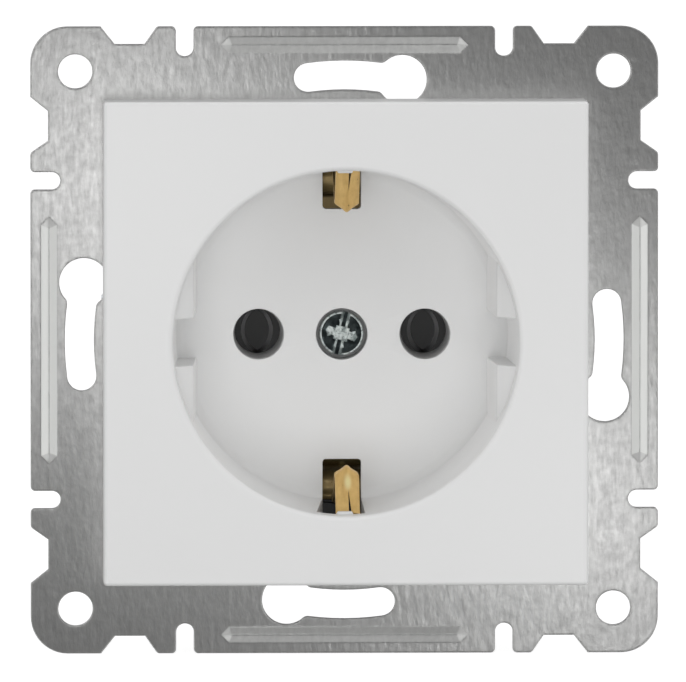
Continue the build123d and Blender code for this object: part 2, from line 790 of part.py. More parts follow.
def claw(side):
    """Spreader claw: a bent strip with two eyes on the pin, two teeth and a foot for the screw."""
    web_middle = claw_web_offset + claw_sheet / 2
    web_outside = claw_web_offset + claw_sheet
    claw_line = FilletPolyline(
        (side * web_middle, claw_pivot_drop + claw_web_start),
        (side * web_middle, claw_bend_drop),
        (side * claw_foot_offset, claw_foot_drop),
        radius=claw_bend_radius,
    )
    inside = claw_width / 2 - claw_sheet
    with BuildPart() as body:
        with BuildSketch(Plane.XY):
            SlotArc(claw_line.wire(), claw_sheet)
        extrude(amount=claw_width / 2, both=True)
        with BuildSketch(Plane.XY.offset(inside), Plane.XY.offset(-claw_width / 2)):
            Polygon(
                (side * (claw_pivot_offset - claw_eye_radius), claw_pivot_drop),
                (side * web_outside, claw_pivot_drop),
                (side * web_outside, claw_tooth_start),
                (side * (web_outside + claw_tooth_height), claw_tooth_start + claw_tooth_lead),
                (side * web_outside, claw_tooth_start + claw_tooth_length),
                (side * claw_web_offset, claw_tooth_start + claw_tooth_length),
            )
            with Locations((side * claw_pivot_offset, claw_pivot_drop)):
                Circle(claw_eye_radius)
                Circle(claw_pin_radius + claw_pin_gap, mode=Mode.SUBTRACT)
        extrude(amount=claw_sheet)
    return body


def claw_pin(side):
    """Hinge pin through the plate's two ears, with a head at each end."""
    pin_half = claw_width / 2 + claw_ear_gap + plate_ear_thickness
    head_height = claw_pin_radius / 2
    with BuildPart() as pin:
        with BuildSketch(Plane.XY.offset(-pin_half)):
            with Locations((side * claw_pivot_offset, claw_pivot_drop)):
                Circle(claw_pin_radius)
        extrude(amount=2 * pin_half)
        with BuildSketch(Plane.XY.offset(pin_half), Plane.XY.offset(-pin_half - head_height)):
            with Locations((side * claw_pivot_offset, claw_pivot_drop)):
                Circle(plate_ear_radius)
        extrude(amount=head_height)
    return pin


for side, word in ((-1, "left"), (1, "right")):
    finish(claw(side), f"claw_{word}")
    finish(claw_pin(side), f"claw_pin_{word}")
    claw_screw = combi_screw(
        side * claw_screw_offset,
        0,
        plate_front - claw_screw_head_height,
        claw_screw_head_diameter,
        claw_screw_head_height,
        claw_screw_length,
        side * 50,
    )
    finish(claw_screw, f"claw_screw_{word}")
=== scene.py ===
import json
from math import atan2, cos, pi, radians, sin, sqrt, tan

import bmesh
import bpy
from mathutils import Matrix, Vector


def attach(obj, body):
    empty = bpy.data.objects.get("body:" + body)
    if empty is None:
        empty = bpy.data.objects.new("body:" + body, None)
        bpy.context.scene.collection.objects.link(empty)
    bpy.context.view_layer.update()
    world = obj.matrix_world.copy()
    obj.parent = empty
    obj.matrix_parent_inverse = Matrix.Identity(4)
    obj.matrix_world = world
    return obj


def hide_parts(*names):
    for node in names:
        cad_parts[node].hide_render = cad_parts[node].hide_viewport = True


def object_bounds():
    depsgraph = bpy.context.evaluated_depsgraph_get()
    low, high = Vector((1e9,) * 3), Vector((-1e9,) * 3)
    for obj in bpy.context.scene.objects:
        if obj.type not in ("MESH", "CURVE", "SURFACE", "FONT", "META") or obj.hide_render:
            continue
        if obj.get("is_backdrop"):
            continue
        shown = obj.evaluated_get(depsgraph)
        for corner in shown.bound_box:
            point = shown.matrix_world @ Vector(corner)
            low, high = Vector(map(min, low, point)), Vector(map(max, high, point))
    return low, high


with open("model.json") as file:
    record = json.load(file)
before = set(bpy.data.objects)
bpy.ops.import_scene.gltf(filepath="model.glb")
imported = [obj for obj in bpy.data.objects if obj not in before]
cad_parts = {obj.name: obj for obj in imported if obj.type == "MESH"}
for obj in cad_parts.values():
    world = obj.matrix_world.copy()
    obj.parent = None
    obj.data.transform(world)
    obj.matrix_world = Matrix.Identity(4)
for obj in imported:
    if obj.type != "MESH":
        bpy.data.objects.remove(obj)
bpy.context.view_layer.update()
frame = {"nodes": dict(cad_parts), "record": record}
bpy.context.scene.view_settings.view_transform = "Standard"
mm = 0.001  # every size below is in millimetres, and meshes are in metres


# Shared node groups

def groupSocket(group, name, direction, kind, default=None):
    socket = group.interface.new_socket(name=name, in_out=direction, socket_type=kind)
    if default is not None:
        socket.default_value = default


def buildMottleGroup():  # patches and streaks, as a value from 0 to 1
    group = bpy.data.node_groups.new("mottle", "ShaderNodeTree")
    groupSocket(group, "Patch Scale", "INPUT", "NodeSocketFloat", 200.0)
    groupSocket(group, "Streak Stretch", "INPUT", "NodeSocketVector", (1.0, 1.0, 1.0))
    groupSocket(group, "Contrast", "INPUT", "NodeSocketFloat", 1.0)
    groupSocket(group, "Value", "OUTPUT", "NodeSocketFloat")
    nodes, links = group.nodes, group.links
    entry, leave = nodes.new("NodeGroupInput"), nodes.new("NodeGroupOutput")
    place = nodes.new("ShaderNodeTexCoord")
    stretch = nodes.new("ShaderNodeVectorMath")
    stretch.operation = "MULTIPLY"
    noise = nodes.new("ShaderNodeTexNoise")
    noise.inputs["Detail"].default_value = 5.0
    noise.inputs["Roughness"].default_value = 0.6
    centre = nodes.new("ShaderNodeMath")
    centre.operation = "SUBTRACT"
    centre.inputs[1].default_value = 0.5
    spread = nodes.new("ShaderNodeMath")  # contrast about the middle tone
    spread.operation = "MULTIPLY_ADD"
    spread.inputs[2].default_value = 0.5
    spread.use_clamp = True
    links.new(place.outputs["Object"], stretch.inputs[0])
    links.new(entry.outputs["Streak Stretch"], stretch.inputs[1])
    links.new(stretch.outputs[0], noise.inputs["Vector"])
    links.new(entry.outputs["Patch Scale"], noise.inputs["Scale"])
    links.new(noise.outputs["Fac"], centre.inputs[0])
    links.new(centre.outputs[0], spread.inputs[0])
    links.new(entry.outputs["Contrast"], spread.inputs[1])
    links.new(spread.outputs[0], leave.inputs["Value"])
    return group


def buildGrainGroup():  # fine surface relief, as a normal
    group = bpy.data.node_groups.new("surfaceGrain", "ShaderNodeTree")
    groupSocket(group, "Grain Scale", "INPUT", "NodeSocketFloat", 3000.0)
    groupSocket(group, "Streak Stretch", "INPUT", "NodeSocketVector", (1.0, 1.0, 1.0))
    groupSocket(group, "Depth", "INPUT", "NodeSocketFloat", 0.00002)
    groupSocket(group, "Edge Normal", "INPUT", "NodeSocketVector")
    groupSocket(group, "Normal", "OUTPUT", "NodeSocketVector")
    nodes, links = group.nodes, group.links
    entry, leave = nodes.new("NodeGroupInput"), nodes.new("NodeGroupOutput")
    place = nodes.new("ShaderNodeTexCoord")
    stretch = nodes.new("ShaderNodeVectorMath")
    stretch.operation = "MULTIPLY"
    noise = nodes.new("ShaderNodeTexNoise")
    noise.inputs["Detail"].default_value = 3.0
    bump = nodes.new("ShaderNodeBump")
    links.new(place.outputs["Object"], stretch.inputs[0])
    links.new(entry.outputs["Streak Stretch"], stretch.inputs[1])
    links.new(stretch.outputs[0], noise.inputs["Vector"])
    links.new(entry.outputs["Grain Scale"], noise.inputs["Scale"])
    links.new(noise.outputs["Fac"], bump.inputs["Height"])
    links.new(entry.outputs["Depth"], bump.inputs["Distance"])
    links.new(entry.outputs["Edge Normal"], bump.inputs["Normal"])
    links.new(bump.outputs["Normal"], leave.inputs["Normal"])
    return group


mottleGroup = buildMottleGroup()
grainGroup = buildGrainGroup()


# Materials: each finish has its own values

evenStretch = (1.0, 1.0, 1.0)  # for a pattern that runs in no direction


def setRange(node, start, end, low=0.0, high=1.0):
    for name, value in zip(("From Min", "From Max", "To Min", "To Max"), (start, end, low, high)):
        node.inputs[name].default_value = value


def addMath(nodes, links, operation, *terms):  # each term is a number or a socket
    node = nodes.new("ShaderNodeMath")
    node.operation = operation
    for entry, term in zip(node.inputs, terms):
        if isinstance(term, float):
            entry.default_value = term
        else:
            links.new(term, entry)
    return node.outputs[0]


def addMottle(nodes, scale, stretch, contrast):
    mottle = nodes.new("ShaderNodeGroup")
    mottle.node_tree = mottleGroup
    mottle.inputs["Patch Scale"].default_value = scale
    mottle.inputs["Streak Stretch"].default_value = stretch
    mottle.inputs["Contrast"].default_value = contrast
    return mottle.outputs["Value"]


def addStreaks(nodes, links, patches, look):  # streaks laid over the patches
    streaks = addMottle(nodes, look["streakScale"], look["stretch"], look["streakContrast"])
    blend = nodes.new("ShaderNodeMix")
    blend.inputs["Factor"].default_value = look["streakShare"]
    links.new(patches, blend.inputs["A"])
    links.new(streaks, blend.inputs["B"])
    return blend.outputs["Result"]


def blendTone(nodes, links, surface, color, share):  # lays a colour over the surface, by share
    tone = nodes.new("ShaderNodeMix")
    tone.data_type = "RGBA"
    tone.inputs["B"].default_value = (*color, 1.0)
    links.new(surface, tone.inputs["A"])
    links.new(share, tone.inputs["Factor"])
    return tone.outputs["Result"]


def addPaintedSlopeLight(nodes, links, surface, look):  # painted light: a lighter tone on faces that lean sideways at a given slope, for the light and reflections they would catch
    geometry = nodes.new("ShaderNodeNewGeometry")
    own = nodes.new("ShaderNodeVectorTransform")  # so that the tone stays put on a piece that turns
    own.vector_type = "NORMAL"
    parts = nodes.new("ShaderNodeSeparateXYZ")
    links.new(geometry.outputs["True Normal"], own.inputs["Vector"])
    links.new(own.outputs["Vector"], parts.inputs[0])
    tilt = addMath(nodes, links, "ABSOLUTE", parts.outputs["Y"])
    away = addMath(nodes, links, "SUBTRACT", tilt, look["slopeLevel"])
    mask = nodes.new("ShaderNodeMapRange")
    setRange(mask, look["slopeWidth"], look["slopeWidth"] / 3)
    links.new(addMath(nodes, links, "ABSOLUTE", away), mask.inputs["Value"])
    fade = nodes.new("ShaderNodeMapRange")  # less of it on faces that look up or down
    setRange(fade, *look["slopeFade"], look.get("slopeFloor", 0.0))
    links.new(addMath(nodes, links, "ABSOLUTE", parts.outputs["X"]), fade.inputs["Value"])
    share = addMath(nodes, links, "MULTIPLY", mask.outputs["Result"], fade.outputs["Result"])
    if "slopeMetallic" in look:
        metallic = nodes.new("ShaderNodeMapRange")
        setRange(metallic, 0.0, 1.0, look["metallic"], look["slopeMetallic"])
        links.new(share, metallic.inputs["Value"])
        links.new(metallic.outputs["Result"], nodes["Principled BSDF"].inputs["Metallic"])
    return blendTone(nodes, links, surface, look["slopeLightColor"], share)


def addPaintedDeepShade(nodes, links, surface, look):  # painted shade: a darker tone that sets in behind a depth level, where a deep recess lies in shade
    place = nodes.new("ShaderNodeTexCoord")
    parts = nodes.new("ShaderNodeSeparateXYZ")
    depth = nodes.new("ShaderNodeMapRange")
    setRange(depth, look["deepRange"][0] * mm, look["deepRange"][1] * mm)
    links.new(place.outputs["Object"], parts.inputs[0])
    links.new(parts.outputs["Y"], depth.inputs["Value"])
    return blendTone(nodes, links, surface, look["deepShadeColor"], depth.outputs["Result"])


def addPaintedHighlight(nodes, links, surface, look):  # painted highlight: bright oval on the lower clip's crowned tongue
    place = nodes.new("ShaderNodeTexCoord")
    parts = nodes.new("ShaderNodeSeparateXYZ")
    oval = nodes.new("ShaderNodeCombineXYZ")
    links.new(place.outputs["Object"], parts.inputs[0])
    for axis, centre, size in zip("XZ", look["highlightPlace"], look["highlightSize"]):
        offset = nodes.new("ShaderNodeMapRange")
        offset.clamp = False
        setRange(offset, centre * mm, (centre + size) * mm)
        links.new(parts.outputs[axis], offset.inputs["Value"])
        links.new(offset.outputs["Result"], oval.inputs[axis])
    distance = nodes.new("ShaderNodeVectorMath")
    distance.operation = "LENGTH"
    mask = nodes.new("ShaderNodeMapRange")
    mask.interpolation_type = "SMOOTHSTEP"
    setRange(mask, 1.0, look["highlightCore"])
    links.new(oval.outputs[0], distance.inputs[0])
    links.new(distance.outputs["Value"], mask.inputs["Value"])
    return blendTone(nodes, links, surface, look["highlightColor"], mask.outputs["Result"])


# painted light and shade laid over the base colour, each by its key in the look
paintedLightTones = {"slopeLightColor": addPaintedSlopeLight, "deepShadeColor": addPaintedDeepShade, "highlightColor": addPaintedHighlight}


def buildFinish(name, look):
    material = bpy.data.materials.new(name)
    material.use_nodes = True
    nodes, links = material.node_tree.nodes, material.node_tree.links
    shader = nodes["Principled BSDF"]
    shader.inputs["Metallic"].default_value = look.get("metallic", 0.0)
    shader.inputs["IOR"].default_value = look.get("ior", 1.5)
    mottle = addMottle(nodes, look["patchScale"], evenStretch, look.get("contrast", 1.0))
    if "streakShare" in look:
        mottle = addStreaks(nodes, links, mottle, look)
    base = nodes.new("ShaderNodeMix")
    base.data_type = "RGBA"
    base.inputs["A"].default_value = (*look["darkColor"], 1.0)
    base.inputs["B"].default_value = (*look["paleColor"], 1.0)
    links.new(mottle, base.inputs["Factor"])
    surface = base.outputs["Result"]
    for key, addTone in paintedLightTones.items():
        if key in look:
            surface = addTone(nodes, links, surface, look)
    gloss = nodes.new("ShaderNodeMapRange")
    setRange(gloss, 0.0, 1.0, *look["roughness"])
    edge = nodes.new("ShaderNodeBevel")
    edge.samples = 6
    edge.inputs["Radius"].default_value = look.get("edge", 0.1) * mm
    grain = nodes.new("ShaderNodeGroup")
    grain.node_tree = grainGroup
    grain.inputs["Grain Scale"].default_value = look["grainScale"]
    grain.inputs["Streak Stretch"].default_value = look.get("grainStretch", evenStretch)
    grain.inputs["Depth"].default_value = look["grainDepth"]
    links.new(edge.outputs["Normal"], grain.inputs["Edge Normal"])
    links.new(mottle, gloss.inputs["Value"])
    links.new(surface, shader.inputs["Base Color"])
    links.new(gloss.outputs["Result"], shader.inputs["Roughness"])
    links.new(grain.outputs["Normal"], shader.inputs["Normal"])
    return material


galvanisedLook = {
    "metallic": 1.0,
    "darkColor": (0.5, 0.5, 0.495),
    "paleColor": (0.76, 0.76, 0.75),
    # painted reflection: lighter, less metallic slopes on the beads
    "slopeLightColor": (0.8, 0.81, 0.79),
    "slopeLevel": 0.87,
    "slopeWidth": 0.09,
    "slopeFade": (0.3, 0.44),
    "slopeFloor": 0.3,
    "slopeMetallic": 0.25,
    "roughness": (0.42, 0.34),
    "patchScale": 1300.0,
    "contrast": 1.5,
    "streakScale": 1900.0,
    "stretch": (1.0, 1.0, 0.22),
    "streakContrast": 2.4,
    "streakShare": 0.45,
    "grainScale": 1500.0,
    "grainStretch": (1.0, 1.0, 0.45),
    "grainDepth": 0.000042,
    "edge": 0.34,
}
whiteLook = {
    "darkColor": (0.785, 0.787, 0.785),
    "paleColor": (0.8, 0.802, 0.8),
    # painted light: side walls of the well and grooves lighter, where they lie in shade
    "slopeLightColor": (0.96, 0.96, 0.958),
    "slopeLevel": 0.0,
    "slopeWidth": 0.4,
    "slopeFade": (0.25, 0.85),
    # painted shade on the walls deep in the pin and screw holes
    "deepShadeColor": (0.56, 0.56, 0.56),
    "deepRange": (9.8, 11.0),
    "ior": 1.38,
    "roughness": (0.32, 0.38),
    "patchScale": 60.0,
    "grainScale": 1800.0,
    "grainDepth": 0.000004,
    "edge": 0.12,
}
blackLook = {
    "darkColor": (0.012, 0.012, 0.012),
    "paleColor": (0.02, 0.02, 0.02),
    "roughness": (0.34, 0.46),
    "patchScale": 300.0,
    "grainScale": 2500.0,
    "grainDepth": 0.00001,
    # painted highlight on the shutter's sloped walls
    "slopeLightColor": (0.3, 0.3, 0.305),
    "slopeLevel": 0.42,
    "slopeWidth": 0.25,
    "slopeFade": (0.45, 0.85),
}
housingLook = {
    "darkColor": (0.04, 0.041, 0.043),
    "paleColor": (0.062, 0.063, 0.065),
    "roughness": (0.45, 0.6),
    "patchScale": 150.0,
    "contrast": 1.4,
    "grainScale": 1600.0,
    "grainDepth": 0.00003,
    "edge": 0.2,
}
brassLook = {
    "metallic": 0.53,
    "darkColor": (0.62, 0.38, 0.12),
    "paleColor": (0.92, 0.64, 0.25),
    # painted shade on the strap deep behind the windows
    "deepShadeColor": (0.34, 0.25, 0.11),
    "deepRange": (2.0, 7.0),
    # painted highlight on the lower clip's tongue
    "highlightColor": (1.0, 0.88, 0.46),
    "highlightPlace": (0.35, -16.2),
    "highlightSize": (0.62, 1.2),
    "highlightCore": 0.1,  # share of the oval that has the full tone
    "roughness": (0.24, 0.4),
    "patchScale": 900.0,
    "contrast": 1.8,
    "streakScale": 1500.0,
    "stretch": (1.0, 0.2, 0.2),
    "streakContrast": 2.4,
    "streakShare": 0.6,
    "grainScale": 2400.0,
    "grainStretch": (1.0, 0.2, 0.2),
    "grainDepth": 0.00003,
    "edge": 0.12,
}
zincLook = {
    "metallic": 1.0,
    "darkColor": (0.5, 0.53, 0.55),
    "paleColor": (0.8, 0.83, 0.86),
    "roughness": (0.22, 0.36),
    "patchScale": 900.0,
    "contrast": 1.6,
    "grainScale": 1500.0,
    "grainDepth": 0.00003,
    "edge": 0.15,
}
# painted dark reflection: the cover screw's flat face, far darker than the zinc
screwFaceReflectionLook = {
    "metallic": 1.0,
    "darkColor": (0.04, 0.055, 0.058),
    "paleColor": (0.2, 0.24, 0.24),
    "roughness": (0.1, 0.2),
    "patchScale": 1400.0,
    "contrast": 2.0,
    "grainScale": 1200.0,
    "grainDepth": 0.00006,
    "edge": 0.1,
}
# painted highlight: the cover screw's rim, slot and cross walls, paler than the zinc
screwHighlightLook = {
    "metallic": 0.55,
    "darkColor": (0.2, 0.25, 0.24),
    "paleColor": (0.95, 1.0, 0.98),
    "roughness": (0.2, 0.4),
    "patchScale": 1700.0,
    "contrast": 2.6,
    "grainScale": 1400.0,
    "grainDepth": 0.00008,
    "edge": 0.1,
}
springLook = {
    "metallic": 1.0,
    "darkColor": (0.32, 0.33, 0.35),
    "paleColor": (0.45, 0.46, 0.48),
    "roughness": (0.2, 0.3),
    "patchScale": 600.0,
    "grainScale": 4000.0,
    "grainDepth": 0.00001,
}
finishes = {
    "galvanised_steel": buildFinish("galvanisedSteel", galvanisedLook),
    "white_plastic": buildFinish("whitePlastic", whiteLook),
    "black_plastic": buildFinish("blackPlastic", blackLook),
    "housing_plastic": buildFinish("housingPlastic", housingLook),
    "brass": buildFinish("brassSheet", brassLook),
    "zinc_steel": buildFinish("zincPlatedSteel", zincLook),
    "spring_steel": buildFinish("springSteel", springLook),
}
screwFacePaintedReflection = buildFinish("screwFacePaintedReflection", screwFaceReflectionLook)
screwPaintedHighlight = buildFinish("screwPaintedHighlight", screwHighlightLook)
print("stage: materials", len(finishes) + 2)


# Mesh helpers

def meshObject(name, maker):
    mesh = bpy.data.meshes.new(name)
    maker.to_mesh(mesh)
    maker.free()
    piece = bpy.data.objects.new(name, mesh)
    bpy.context.scene.collection.objects.link(piece)
    return piece


# Body of revolution about a line along Y: profile holds (radius, depth) pairs
def latheMesh(name, profile, x=0.0, z=0.0, segments=96):
    maker = bmesh.new()
    turns = [2 * pi * i / segments for i in range(segments)]
    rings = []
    for radius, depth in profile:
        if radius == 0:
            rings.append([maker.verts.new((x * mm, depth * mm, z * mm))])
            continue
        rings.append([
            maker.verts.new(((x + radius * cos(t)) * mm, depth * mm, (z + radius * sin(t)) * mm))
            for t in turns
        ])
    for first, second in zip(rings, rings[1:]):
        for i in range(segments):
            j = (i + 1) % segments
            if len(first) == 1:
                maker.faces.new((first[0], second[i], second[j]))
            elif len(second) == 1:
                maker.faces.new((first[i], first[j], second[0]))
            else:
                maker.faces.new((first[i], first[j], second[j], second[i]))
    for ring in (rings[0], rings[-1]):
        if len(ring) > 1:
            maker.faces.new(ring)
    bmesh.ops.recalc_face_normals(maker, faces=maker.faces)
    return meshObject(name, maker)


# Body between two like outlines: each holds (x, y, z) points
def bridgeMesh(name, nearPoints, farPoints, edgeRadius, edgeSteps):
    maker = bmesh.new()
    near = [maker.verts.new([value * mm for value in point]) for point in nearPoints]
    far = [maker.verts.new([value * mm for value in point]) for point in farPoints]
    maker.faces.new(near)
    maker.faces.new(far)
    for i in range(len(near)):
        j = (i + 1) % len(near)
        maker.faces.new((near[i], near[j], far[j], far[i]))
    bmesh.ops.recalc_face_normals(maker, faces=maker.faces)
    if edgeRadius:
        bmesh.ops.bevel(
            maker, geom=maker.edges[:], offset=edgeRadius * mm, segments=edgeSteps, profile=0.5,
            affect="EDGES",
        )
    return meshObject(name, maker)


# Outline of (x, z) pairs, drawn out in depth from front to back
def prismMesh(name, outline, front, back, edgeRadius=0.0, edgeSteps=2):
    near, far = [(x, front, z) for x, z in outline], [(x, back, z) for x, z in outline]
    return bridgeMesh(name, near, far, edgeRadius, edgeSteps)


# Outline of (x, y) pairs, drawn out in height from low to high
def slabMesh(name, outline, low, high, edgeRadius=0.0, edgeSteps=2):
    near, far = [(x, y, low) for x, y in outline], [(x, y, high) for x, y in outline]
    return bridgeMesh(name, near, far, edgeRadius, edgeSteps)


def roundedOutline(corners, radii, steps=8, closed=True):  # outline with an arc at each corner
    outline = []
    count = len(corners)
    for i, (x, z) in enumerate(corners):
        radius = radii[i] if isinstance(radii, (list, tuple)) else radii
        if not closed and i in (0, count - 1):
            radius = 0
        before, after = Vector(corners[i - 1]), Vector(corners[(i + 1) % count])
        here = Vector((x, z))
        toBefore, toAfter = (before - here).normalized(), (after - here).normalized()
        half = toBefore.angle(toAfter) / 2
        if radius == 0 or half > pi / 2 - 0.01:  # a sharp corner, or hardly one at all
            outline.append((x, z))
            continue
        reach = radius / tan(half)
        centre = here + (toBefore + toAfter).normalized() * (radius / sin(half))
        start, end = here + toBefore * reach - centre, here + toAfter * reach - centre
        first, last = atan2(start.y, start.x), atan2(end.y, end.x)
        turn = (last - first + pi) % (2 * pi) - pi
        for k in range(steps + 1):
            angle = first + turn * k / steps
            outline.append((centre.x + radius * cos(angle), centre.y + radius * sin(angle)))
    return outline


def rectangleCorners(width, height, x=0.0, z=0.0):
    return [
        (x - width / 2, z - height / 2),
        (x + width / 2, z - height / 2),
        (x + width / 2, z + height / 2),
        (x - width / 2, z + height / 2),
    ]


def combine(target, tool, operation):
    modifier = target.modifiers.new(operation.lower(), "BOOLEAN")
    modifier.operation = operation
    modifier.solver = "EXACT"
    modifier.object = tool
    return tool


# Applies the modifiers, deletes the tools and sets smooth shading with crisp edges
def settle(piece, tools, sharpAngle):
    evaluated = piece.evaluated_get(bpy.context.evaluated_depsgraph_get())
    mesh = bpy.data.meshes.new_from_object(evaluated)
    piece.modifiers.clear()
    piece.data = mesh
    for tool in tools:
        bpy.data.objects.remove(tool)
    mesh.polygons.foreach_set("use_smooth", [True] * len(mesh.polygons))
    mesh.set_sharp_from_angle(angle=radians(sharpAngle))
    weighted = piece.modifiers.new("weighted", "WEIGHTED_NORMAL")
    weighted.keep_sharp = True
    return piece


def dress(piece, slotName, body, node):
    piece.data.materials.clear()
    piece.data.materials.append(finishes[slotName])
    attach(piece, body)
    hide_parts(node)


# Cover plate: square cap with its well, floor, collars, windows and guide ribs

coverPlate = {
    "size": 55.0,
    "face": -8.0,
    "back": -1.3,
    "edgeRadius": 0.4,
    "edgeSteps": 7,
    "wall": 1.5,
    "faceWall": 2.0,
    "hollowBack": 3.7,
    "hollowRound": 0.4,
    "floorFront": 9.5,
    "floorBack": 11.5,
    "floorRadius": 19.0,
    "mouthRadius": 19.6,
    "outerRadius": 20.6,
    "backChamfer": 0.4,
    "rimRadius": 0.6,
    "floorFillet": 1.2,
    "guideFloor": 16.6,
    "guideTop": 17.2,
    "guideTopDepth": -4.0,
    "guideEndDepth": -7.2,
    "guideSink": 0.3,  # the ribs start this far inside the floor and the wall
    "guideRound": 0.16,
    "keepRadius": 20.45,  # the ribs end at this radius and between these depths
    "keepDepths": (9.9, -7.9),
    "grooveHalf": 2.7,
    "guideHalf": 9.9,
    "pinOffset": 9.5,
    "pinRadius": 2.875,
    "pinLipRadius": 2.62,
    "collarRadius": 3.975,
    "collarStart": 10.5,
    "collarEnd": 16.6,
    "lipDepth": 14.6,
    "screwRadius": 2.925,
    "screwSeat": 12.7,
    "boreRadius": 1.7,
    "bossRadius": 4.2,
    "bossEnd": 20.6,
    "windowWidth": 4.4,
    "windowStart": 14.3,
    "windowFront": 8.1,
    "windowCorner": 0.4,
    "windowMouth": (-3.3, 2.2),
    "windowTop": -5.6,
    "windowWall": 17.6,
    "sillOutline": [(-0.85, 19.25), (0.74, 19.25), (1.1, 20.2), (-1.45, 20.2)],
    "sillDepths": (-5.75, -4.5),
    "sillRound": 0.1,
    "edgeBreak": 0.12,
    "overrun": 1.0,  # cutters run this far past what they cut
}


def wellProfile(size):  # from the middle of the well's floor over its fillet and rim to the front
    quarter = [pi / 2 * k / 8 for k in range(9)]
    face, floor, front = size["face"], size["floorFront"], size["face"] - size["overrun"]
    fillet, rim = size["floorFillet"], size["rimRadius"]
    slope = (size["mouthRadius"] - size["floorRadius"]) / (face - floor)
    inner, outer = size["floorRadius"] - fillet, size["mouthRadius"] - slope * rim + rim
    return [
        (0, floor),
        *((inner + fillet * sin(angle), floor - fillet + fillet * cos(angle)) for angle in quarter),
        *((outer - rim * cos(angle), face + rim - rim * sin(angle)) for angle in quarter),
        (size["mouthRadius"] + rim, front),
        (0, front),
    ]


def holeProfile(size, radius, steps):  # hole in the floor with a broken edge, then the given steps
    front, edge = size["floorFront"], size["edgeBreak"]
    return [
        (0, front - size["overrun"]),
        (radius + edge, front - size["overrun"]),
        (radius + edge, front),
        (radius + edge * 0.3, front + edge * 0.3),
        (radius, front + edge),
        *steps,
        (0, steps[-1][1]),
    ]


def buildGuides(size):  # two ribs with a groove between them on each side of the well
    sunkRadius = size["outerRadius"] - size["guideSink"]
    sunkDepth = size["floorFront"] + size["guideSink"]
    guides = []
    for side in (-1, 1):
        outline = [
            (side * size["guideFloor"], sunkDepth),
            (side * size["guideTop"], size["guideTopDepth"]),
            (side * sunkRadius, size["guideEndDepth"]),
            (side * sunkRadius, sunkDepth),
        ]
        for flank in (-1, 1):
            low, high = sorted((flank * size["grooveHalf"], flank * size["guideHalf"]))
            guide = slabMesh("guide", outline, low, high, size["guideRound"], 3)
            keep = latheMesh("keep", [(size["keepRadius"], depth) for depth in size["keepDepths"]])
            guides.append((guide, combine(guide, keep, "INTERSECT")))
    return guides


def openWindow(size, cover, side):  # earth window in the floor, its flared notch in the wall, its sill
    outer, back = size["outerRadius"] + size["overrun"], size["floorBack"] + size["overrun"]
    length = outer - size["windowStart"]
    middle = side * (size["windowStart"] + length / 2)
    corners = rectangleCorners(size["windowWidth"], length, 0, middle)
    window = prismMesh(
        "window", roundedOutline(corners, size["windowCorner"], 6), size["windowFront"], back
    )
    half, floor, top = size["windowWidth"] / 2, size["floorFront"], size["windowTop"]
    left, right = size["windowMouth"]
    low, high = sorted((side * size["windowWall"], side * outer))
    notch = slabMesh("notch", [
        (half, back), (half, floor), (right, top), (left, top), (-half, floor), (-half, back),
    ], low, high)
    sillOutline = [(x, side * z) for x, z in size["sillOutline"]]
    sill = prismMesh("sill", sillOutline, *size["sillDepths"], size["sillRound"])
    return [
        combine(cover, window, "DIFFERENCE"),
        combine(cover, notch, "DIFFERENCE"),
        combine(cover, sill, "UNION"),
    ]


def buildCover(size):
    face, outer, overrun = size["face"], size["outerRadius"], size["overrun"]
    inner = size["size"] - 2 * size["wall"]
    cover = prismMesh(
        "coverCap",
        rectangleCorners(size["size"], size["size"]),
        face,
        size["back"],
        size["edgeRadius"],
        size["edgeSteps"],
    )
    hollow = prismMesh(
        "hollow",
        rectangleCorners(inner, inner),
        face + size["faceWall"],
        size["hollowBack"],
        size["hollowRound"],
        3,
    )
    tube = latheMesh("tube", [
        (outer, face + size["faceWall"] / 2),
        (outer, size["floorBack"] - size["backChamfer"]),
        (outer - size["backChamfer"], size["floorBack"]),
    ], segments=192)
    well = latheMesh("well", wellProfile(size), segments=256)
    guides = buildGuides(size)
    tools = [
        combine(cover, hollow, "DIFFERENCE"),
        combine(cover, tube, "UNION"),
        combine(cover, well, "DIFFERENCE"),
    ]
    tools += [combine(cover, guide, "UNION") for guide, keep in guides]
    pinPlaces = (-size["pinOffset"], size["pinOffset"])
    for x, radius, end in (
        *((x, size["collarRadius"], size["collarEnd"]) for x in pinPlaces),
        (0.0, size["bossRadius"], size["bossEnd"]),
    ):
        collar = latheMesh("collar", [(radius, size["collarStart"]), (radius, end)], x)
        tools.append(combine(cover, collar, "UNION"))
    pinSteps = [
        (size["pinLipRadius"], size["lipDepth"]),
        (size["pinLipRadius"], size["collarEnd"] + overrun),
    ]
    screwSteps = [
        (size["screwRadius"], size["screwSeat"]),
        (size["boreRadius"], size["screwSeat"]),
        (size["boreRadius"], size["bossEnd"] + overrun),
    ]
    for x, radius, steps in (
        *((x, size["pinRadius"], pinSteps) for x in pinPlaces),
        (0.0, size["screwRadius"], screwSteps),
    ):
        hole = latheMesh("hole", holeProfile(size, radius, steps), x)
        tools.append(combine(cover, hole, "DIFFERENCE"))
    for side in (-1, 1):
        tools += openWindow(size, cover, side)
    settle(cover, tools, 35.0)
    for guide, keep in guides:
        bpy.data.objects.remove(keep)
    return cover


cover = buildCover(coverPlate)
dress(cover, "white_plastic", "insert", "cover_plate")
print("stage: cover plate", len(cover.data.polygons))


# Earth strap: one bent strip with a crowned, slit tongue standing in each window

